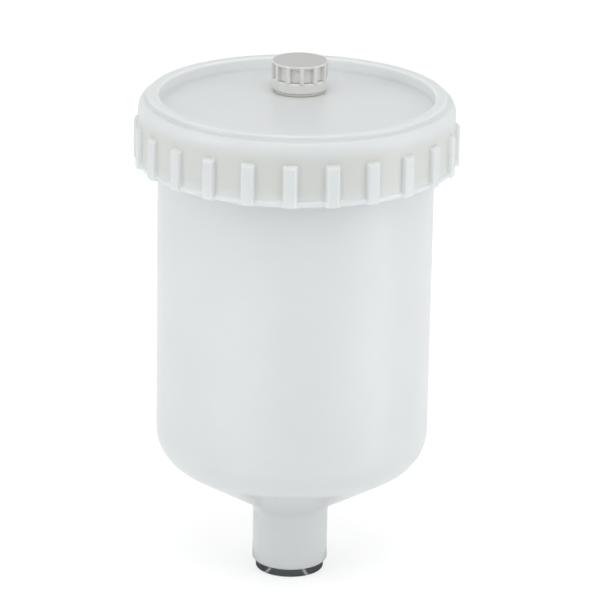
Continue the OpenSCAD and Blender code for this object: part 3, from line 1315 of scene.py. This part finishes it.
    def build(self) -> None:
        """Makes the lid with its ribs, its thread and the hole for the vent."""
        # The lid's plastic with two painted bands: painted shade on the skirt and a painted glow on
        # the lip's inner wall.
        plastic = LID_PLASTIC.build(self.mouth_behind(), self.painted_recess_glow())
        piece = turned("lid_shell", self.shell(), self.columns())
        lengths = {
            "Width": self.rib_w,
            "Flank": self.rib_flank,
            "Rib radius": self.rib_r,
            "Inner limit": self.skirt_r - self.rib_root,
            "Top": self.rib_top_z,
            "Top slope": self.rib_top_slope,
        }
        shares = {"Count": self.rib_count, "First angle": math.pi / 2}
        with_tree(piece, grip_rib_tree(), plastic, lengths, shares)
        thread = self.cup.thread
        facing = thread.depth - self.crest_gap
        facing_w = thread.crest_w + (thread.root_w - thread.crest_w) * facing / thread.depth
        drop = (thread.crest_w + facing_w) / 2 + self.flank_gap
        start_z = self.cup.thread_z - drop
        ridges = thread.ridges("lid_ridges", self.bore_r, start_z, Wall.INSIDE, plastic)
        combine(piece, ridges, Cut.JOIN)
        hole_r, low, high = self.stem_hole_d / 2, self.seat_z - PAST, self.face_z + PAST
        corners = [Corner(0.0, low), Corner(hole_r, low), Corner(hole_r, high), Corner(0.0, high)]
        drill = turned("stem_hole", section(corners), even(self.hole_columns), self.vent_y)
        combine(piece, drill, Cut.TAKE_AWAY)
        finish(piece, plastic, "lid", "lid")


@dataclass
class LidGasket:
    """The flat foam ring between the cup's rim and the lid."""

    width: float = 3.3
    edge: float = 0.3
    columns: int = 180

    def build(self) -> None:
        """Makes the gasket."""
        box = NodeBox.of("lid_gasket")
        inner, edge = box.radius - self.width, (self.edge, 3)
        piece = flat_ring("gasket_ring", box, (inner, *edge), edge, self.columns)
        finish(piece, GASKET_FOAM.build(), "gasket", "lid_gasket")


@dataclass
class Vent:
    """The vent's fixed pieces: stem with collar, washer, and the nut under the lid."""

    plastic: Material
    rubber: Material
    shank_d: float = 8.0
    spigot_d: float = 8.5
    air_hole_d: float = 2.6
    slot_w: float = 1.6
    slot_depth: float = 0.8
    collar_edge: float = 0.5
    collar_gap: float = 0.1
    thread_pitch: float = 1.25
    thread_depth: float = 0.6
    thread_run_out: float = 0.4
    rows_a_pitch: int = 10
    nut_af: float = 13.0
    nut_chamfer: float = 0.4
    nut_slope: float = math.radians(30)
    stem_gap: float = 0.05
    columns: int = 96

    def __post_init__(self) -> None:
        """Takes the vent's heights from its nodes."""
        self.stem = NodeBox.of("vent_stem")
        self.washer = NodeBox.of("vent_washer")
        self.nut = NodeBox.of("vent_nut")
        self.centre_y = self.washer.centre_y
        self.collar_top_z = NodeBox.of("vent_cap").low.z - self.collar_gap
        self.hole_r = self.shank_d / 2 + self.stem_gap

    def build_stem(self) -> None:
        """Makes the stem with its collar, its threaded shank and the air slot."""
        shank_r, spigot_r, hole_r = self.shank_d / 2, self.spigot_d / 2, self.air_hole_d / 2
        collar_r, collar_z = self.stem.radius, self.washer.high.z
        corners = [
            Corner(hole_r, self.stem.low.z, 0.2, 3),
            Corner(shank_r, self.stem.low.z, 0.5, 3),
            Corner(shank_r, collar_z),
            Corner(collar_r, collar_z, self.collar_edge),
            Corner(collar_r, self.collar_top_z, self.collar_edge, 6),
            Corner(spigot_r, self.collar_top_z, 0.2, 3),
            Corner(spigot_r, self.stem.high.z, 0.4, 4),
            Corner(hole_r, self.stem.high.z, 0.2, 3),
        ]
        points = spaced(section(corners), self.thread_pitch / self.rows_a_pitch, shank_r)
        piece = turned("stem_body", points, even(self.columns), self.centre_y)
        lengths = {
            "Pitch": self.thread_pitch,
            "Depth": -self.thread_depth,
            "Wall radius": shank_r,
            "Low": self.stem.low.z,
            "High": collar_z - self.thread_run_out,
            "Run out": self.thread_run_out,
            "Centre Y": self.centre_y,
        }
        with_tree(piece, fine_thread_tree(), self.plastic, lengths)
        reach = collar_r - spigot_r + 2 * PAST
        slot = box_mesh(
            "air_slot",
            Vector((spigot_r + reach / 2, self.centre_y, self.collar_top_z)),
            Vector((reach, self.slot_w, 2 * self.slot_depth)),
        )
        combine(piece, slot, Cut.TAKE_AWAY)
        finish(piece, self.plastic, "lid", "vent_stem")

    def build_washer(self) -> None:
        """Makes the washer, whose squeezed edge bulges."""
        inner, edge = (self.hole_r, 0.15, 2), (0.38, 4)
        piece = flat_ring("washer_ring", self.washer, inner, edge, self.columns, self.centre_y)
        finish(piece, self.rubber, "lid", "vent_washer")

    def build_nut(self) -> None:
        """Makes the hexagonal nut with turned chamfers on both faces."""
        low, high = self.nut.low.z, self.nut.high.z
        flat_r, bevel, past = self.nut_af / 2, self.nut_chamfer, 0.2
        corner_r = flat_r / math.cos(math.pi / 6)
        drop = (corner_r - flat_r) * math.tan(self.nut_slope) + past / 2
        corners = [
            Corner(self.hole_r + bevel, low),
            Corner(flat_r, low),
            Corner(corner_r + past, low + drop),
            Corner(corner_r + past, high - drop),
            Corner(flat_r, high),
            Corner(self.hole_r + bevel, high),
            Corner(self.hole_r, high - bevel),
            Corner(self.hole_r, low + bevel),
        ]
        piece = turned("nut_body", section(corners), even(self.columns), self.centre_y)
        under, over = low - PAST, high + PAST
        outline = [(0.0, under), (corner_r, under), (corner_r, over), (0.0, over)]
        prism = turned("nut_flats", outline, even(6), self.centre_y)
        combine(piece, prism, Cut.KEEP_COMMON)
        finish(piece, NUT_PLASTIC.build(), "lid", "vent_nut")


@dataclass
class VentCap:
    """The fluted cap that closes the vent, and the sealing disc inside it."""

    plastic: Material
    rubber: Material
    cap_d: float = 18.0
    plate_t: float = 1.1
    pocket: float = 1.1
    rib_count: int = 12
    rib_out: float = 0.35
    rib_w: float = 1.3
    rib_edge: float = 0.3
    rest_angle: float = math.radians(7.0)
    roof_t: float = 1.5
    bore_d: float = 8.62
    edge: float = 0.45
    columns: int = 144
    seal_edge: float = 0.25
    seal_columns: int = 64

    def __post_init__(self) -> None:
        """Takes the cap's heights and rib radius from its node."""
        self.box = NodeBox.of("vent_cap")
        self.centre_y = NodeBox.of("vent_washer").centre_y
        self.rib_r = self.cap_d / 2 + self.rib_out

    @staticmethod
    def seal_behind() -> PaintedLightBand:
        """A painted shade that makes the cap's top face greyer than its lit sides."""
        box, deep, past = NodeBox.of("vent_cap"), 0.2, 1.0
        low, high, far = box.high.z - deep, box.high.z + past, box.high.z
        return PaintedLightBand("#b0b0ae", low, high, 0.0, far, fade=0.15)

    def build(self) -> None:
        """Makes the cap with its ribs."""
        low, high = self.box.low.z, self.box.high.z
        plate_r, bore_r = self.cap_d / 2, self.bore_d / 2
        core_r = plate_r - self.pocket
        plate_z, roof_z = high - self.plate_t, high - self.roof_t
        corners = [
            Corner(0.0, high),
            Corner(plate_r, high, self.edge, 6),
            Corner(plate_r, plate_z, 0.2, 3),
            Corner(core_r, plate_z, 0.3, 3),
            Corner(core_r, low, 0.2, 3),
            Corner(bore_r, low, 0.2, 3),
            Corner(bore_r, roof_z, 0.2, 3),
            Corner(0.0, roof_z),
        ]
        piece = turned("cap_body", section(corners), even(self.columns), self.centre_y)
        inner = core_r - self.pocket / 2
        lengths = {
            "Ring radius": (inner + self.rib_r) / 2,
            "Width": self.rib_w,
            "Depth": self.rib_r - inner,
            "Edge": self.rib_edge,
            "Low": low,
            "Height": high - self.edge - low,
            "Centre Y": self.centre_y,
        }
        shares = {"Count": self.rib_count, "First angle": self.rest_angle}
        bars = empty_piece("cap_bars")
        with_tree(bars, ring_of_bars_tree(), self.plastic, lengths, shares)
        combine(piece, bars, Cut.JOIN)
        finish(piece, self.plastic, "cap", "vent_cap")

    def build_seal(self) -> None:
        """Makes the sealing disc with softened edges."""
        box, edge = NodeBox.of("vent_seal"), (self.seal_edge, 3)
        piece = flat_ring("seal_disc_body", box, (0.0,), edge, self.seal_columns, self.centre_y)
        finish(piece, self.rubber, "seal_disc", "vent_seal")


# Floor, lights and camera

SEEN: Rows = {
    "path": ("LightPath",),
    "seen": ("Math:MAXIMUM", "path.Is Camera Ray", "path.Is Glossy Ray"),
    "seen or through": ("Math:MAXIMUM", "seen", "path.Is Transmission Ray"),
}


def flat_sheet(name: str, corners: list[tuple[float, float, float]]) -> Object:
    """One flat face with these corners, in metres."""
    sheet = empty_piece(name)
    sheet.data.from_pydata(corners, [], [tuple(range(len(corners)))])
    return sheet


def area_light(name: str, size: Point, watts: float) -> Object:
    """Makes a rectangular light.

    Args:
        name: the light's name.
        size: its sides, in metres.
        watts: its power.

    Returns:
        The light.
    """
    data = bpy.data.lights.new(name, "AREA")
    data.shape = "RECTANGLE"
    data.size, data.size_y = size
    data.energy = watts
    light = bpy.data.objects.new(name, data)
    bpy.context.scene.collection.objects.link(light)
    return light


@dataclass
class Studio:
    """A pale floor, soft light and the camera at the photograph's angle."""

    frame_px: float = 600.0
    focal_px: float = 4000.0
    sensor_mm: float = 36.0
    distance: float = 1.316
    aim_z: float = 94.04
    elevation: float = math.radians(18.87)
    azimuth: float = math.radians(272.0)
    roll: float = math.radians(0.99)
    left_shift_px: float = 6.14
    floor_half: float = 6.0
    world_light: float = 0.695
    floor_glow: float = 0.12
    floor_white: float = 0.67

    def build(self) -> None:
        """Makes everything that isn't the object."""
        self.camera()
        self.world()
        self.floor()
        self.softbox("left_softbox", -69.0, 14.0, 1.1, (0.50, 1.3), 3.3)
        self.softbox("right_softbox", 70.0, 14.0, 1.1, (0.60, 1.3), 3.0)
        self.softbox("top_softbox", 10.0, 75.0, 1.2, (0.9, 0.9), 4.5)
        self.softbox("front_softbox", 0.0, 55.0, 1.1, (0.9, 0.6), 0.8)
        self.floor_panel("left_floor_panel", (-0.165, 0.205), (0.15, 0.20), 40.0, 0.16)
        self.floor_panel("right_floor_panel", (0.46, 0.148), (0.65, 0.215), 0.0, 0.55)
        self.floor_flag("left_floor_flag", -150.0, -49.5)
        self.floor_flag("front_floor_flag", -43.5, 31.0)
        self.floor_flag("right_floor_flag", 37.0, 150.0)

    def towards(self, side: float, rise: float) -> Vector:
        """The way from the cup at an angle round it from the camera and above the horizon."""
        turn, level = self.azimuth + side, math.cos(rise)
        return Vector((level * math.cos(turn), level * math.sin(turn), math.sin(rise)))

    def camera(self) -> None:
        """Makes the camera from the fitted view."""
        data = bpy.data.cameras.new("camera")
        data.sensor_width = self.sensor_mm
        data.lens = self.focal_px / self.frame_px * self.sensor_mm
        data.shift_x = self.left_shift_px / self.frame_px
        data.clip_start, data.clip_end = 0.05, 50.0
        camera = bpy.data.objects.new("camera", data)
        bpy.context.scene.collection.objects.link(camera)
        away = self.towards(0.0, self.elevation)
        camera.location = Vector((0.0, 0.0, self.aim_z * MM)) + away * self.distance
        facing = (-away).to_track_quat("-Z", "Y").to_matrix()
        camera.rotation_euler = (facing @ Matrix.Rotation(self.roll, 3, "Z")).to_euler()
        bpy.context.scene.camera = camera

    def world(self) -> None:
        """White where it is seen or mirrored, and a softer level where it lights."""
        world = bpy.data.worlds.new("studio")
        bpy.context.scene.world = world
        world.use_nodes = True
        world.node_tree.nodes.clear()
        rows: Rows = {
            **SEEN,
            "light": ("Background", linear("#f7f8f8"), self.world_light),
            "white": ("Background", linear("#ffffff"), 1.0),
            "both": ("MixShader", "seen or through", "light", "white"),
            "out": ("OutputWorld", "both"),
        }
        grow(world.node_tree, {}, rows)

    def floor(self) -> None:
        """Makes the pale floor, which keeps the object's shadow and is white elsewhere."""
        half, seen = self.floor_half, "seen or through"
        corners = [(-half, -half, 0.0), (half, -half, 0.0), (half, half, 0.0), (-half, half, 0.0)]
        floor = flat_sheet("floor", corners)
        material, tree, shader = new_material("painted_white_floor")
        rows: Rows = {
            **SEEN,
            "paint": (MIX, {0: seen, 6: linear("#f0f1f2"), 7: linear("#a8a8a8")}),
            "lift": ("MapRange", seen, 0.0, 1.0, self.floor_glow, self.floor_white),
            "side": ("NewGeometry",),
            "from below": ("Math:MULTIPLY", "side.Backfacing", "path.Is Camera Ray"),
            "clear": ("BsdfTransparent",),
            "one sided": ("MixShader", "from below", "shader", "clear"),
        }
        made = grow(tree, {"shader": shader}, rows)
        own = {
            "Base Color": made["paint"].outputs[2],
            "Roughness": 0.9,
            "Emission Color": linear("#ffffff"),
            "Emission Strength": made["lift"],
        }
        fill(tree, shader, own)
        fill(tree, tree.nodes["Material Output"], {"Surface": made["one sided"]})
        floor.data.materials.append(material)

    def floor_panel(
        self, name: str, place: Point, size: Point, turn_deg: float, watts: float
    ) -> None:
        """Lays a light panel on the floor, facing up: it gives the barrel its soft bands.

        Args:
            name: the panel's name.
            place: its middle, in metres to the right of the cup and towards the camera.
            size: its sides, in metres.
            turn_deg: its turn seen from above.
            watts: its power.
        """
        panel = area_light(name, size, watts)
        panel.data.color = linear("#f4f8ff")[:3]
        ahead = self.towards(0.0, 0.0)
        right = Vector((-ahead.y, ahead.x, 0.0))
        panel.location = right * place[0] + ahead * place[1] + Vector((0.0, 0.0, MM))
        panel.rotation_euler = (math.pi, 0.0, self.azimuth + math.radians(90 + turn_deg))
        panel.visible_camera = False
        panel.visible_transmission = False
        panel.data.cycles.use_multiple_importance_sampling = False

    def softbox(
        self, name: str, side: float, height: float, away: float, size: Point, watts: float
    ) -> None:
        """Makes one soft light, aimed at the middle of the cup.

        Args:
            name: the light's name.
            side: its direction round the cup from the camera to the right, in degrees.
            height: its height above the horizon, in degrees.
            away: its distance, in metres.
            size: its width and height, in metres.
            watts: its power.
        """
        light = area_light(name, size, watts)
        towards = self.towards(math.radians(side), math.radians(height))
        light.location = Vector((0.0, 0.0, self.aim_z * MM)) + towards * away
        light.rotation_euler = (-towards).to_track_quat("-Z", "Y").to_euler()

    def floor_flag(self, name: str, from_deg: float, to_deg: float) -> None:
        """Lays a grey fan in front of the metal ring, which only mirrored light meets.

        Args:
            name: the fan's name.
            from_deg: where it begins round the ring from the camera, to the right.
            to_deg: where it ends.
        """
        inner, outer, height, steps = 0.0114, 0.0225, 0.0001, 24
        turns = [math.radians(from_deg + (to_deg - from_deg) * k / steps) for k in range(steps + 1)]
        rim = [(outer * math.cos(a), outer * math.sin(a), height) for a in turns]
        hub = [(inner * math.cos(a), inner * math.sin(a), height) for a in reversed(turns)]
        flag = flat_sheet(name, rim + hub)
        flag.rotation_euler.z = self.azimuth
        material, tree, shader = new_material("grey_card")
        fill(tree, shader, {"Base Color": linear("#8a8a8a"), "Roughness": 1.0})
        flag.data.materials.append(material)
        for ray in ("camera", "diffuse", "transmission", "shadow"):
            setattr(flag, "visible_" + ray, False)


def main() -> None:
    logging.basicConfig(level=logging.INFO, format="%(name)s: %(message)s")
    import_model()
    bpy.context.scene.view_settings.view_transform = "Standard"

    insert = OutletInsert()
    cup = Cup(insert)
    # The vent plastic carries the painted shade on the cap's top face.
    rubber, plastic = SEAL_RUBBER.build(), VENT_PLASTIC.build(VentCap.seal_behind())
    vent, cap = Vent(plastic, rubber), VentCap(plastic, rubber)
    cup.build()
    insert.build()
    Lid(cup).build()
    LidGasket().build()
    vent.build_stem()
    vent.build_washer()
    vent.build_nut()
    cap.build()
    cap.build_seal()
    Studio().build()


if __name__ == "__main__":
    main()
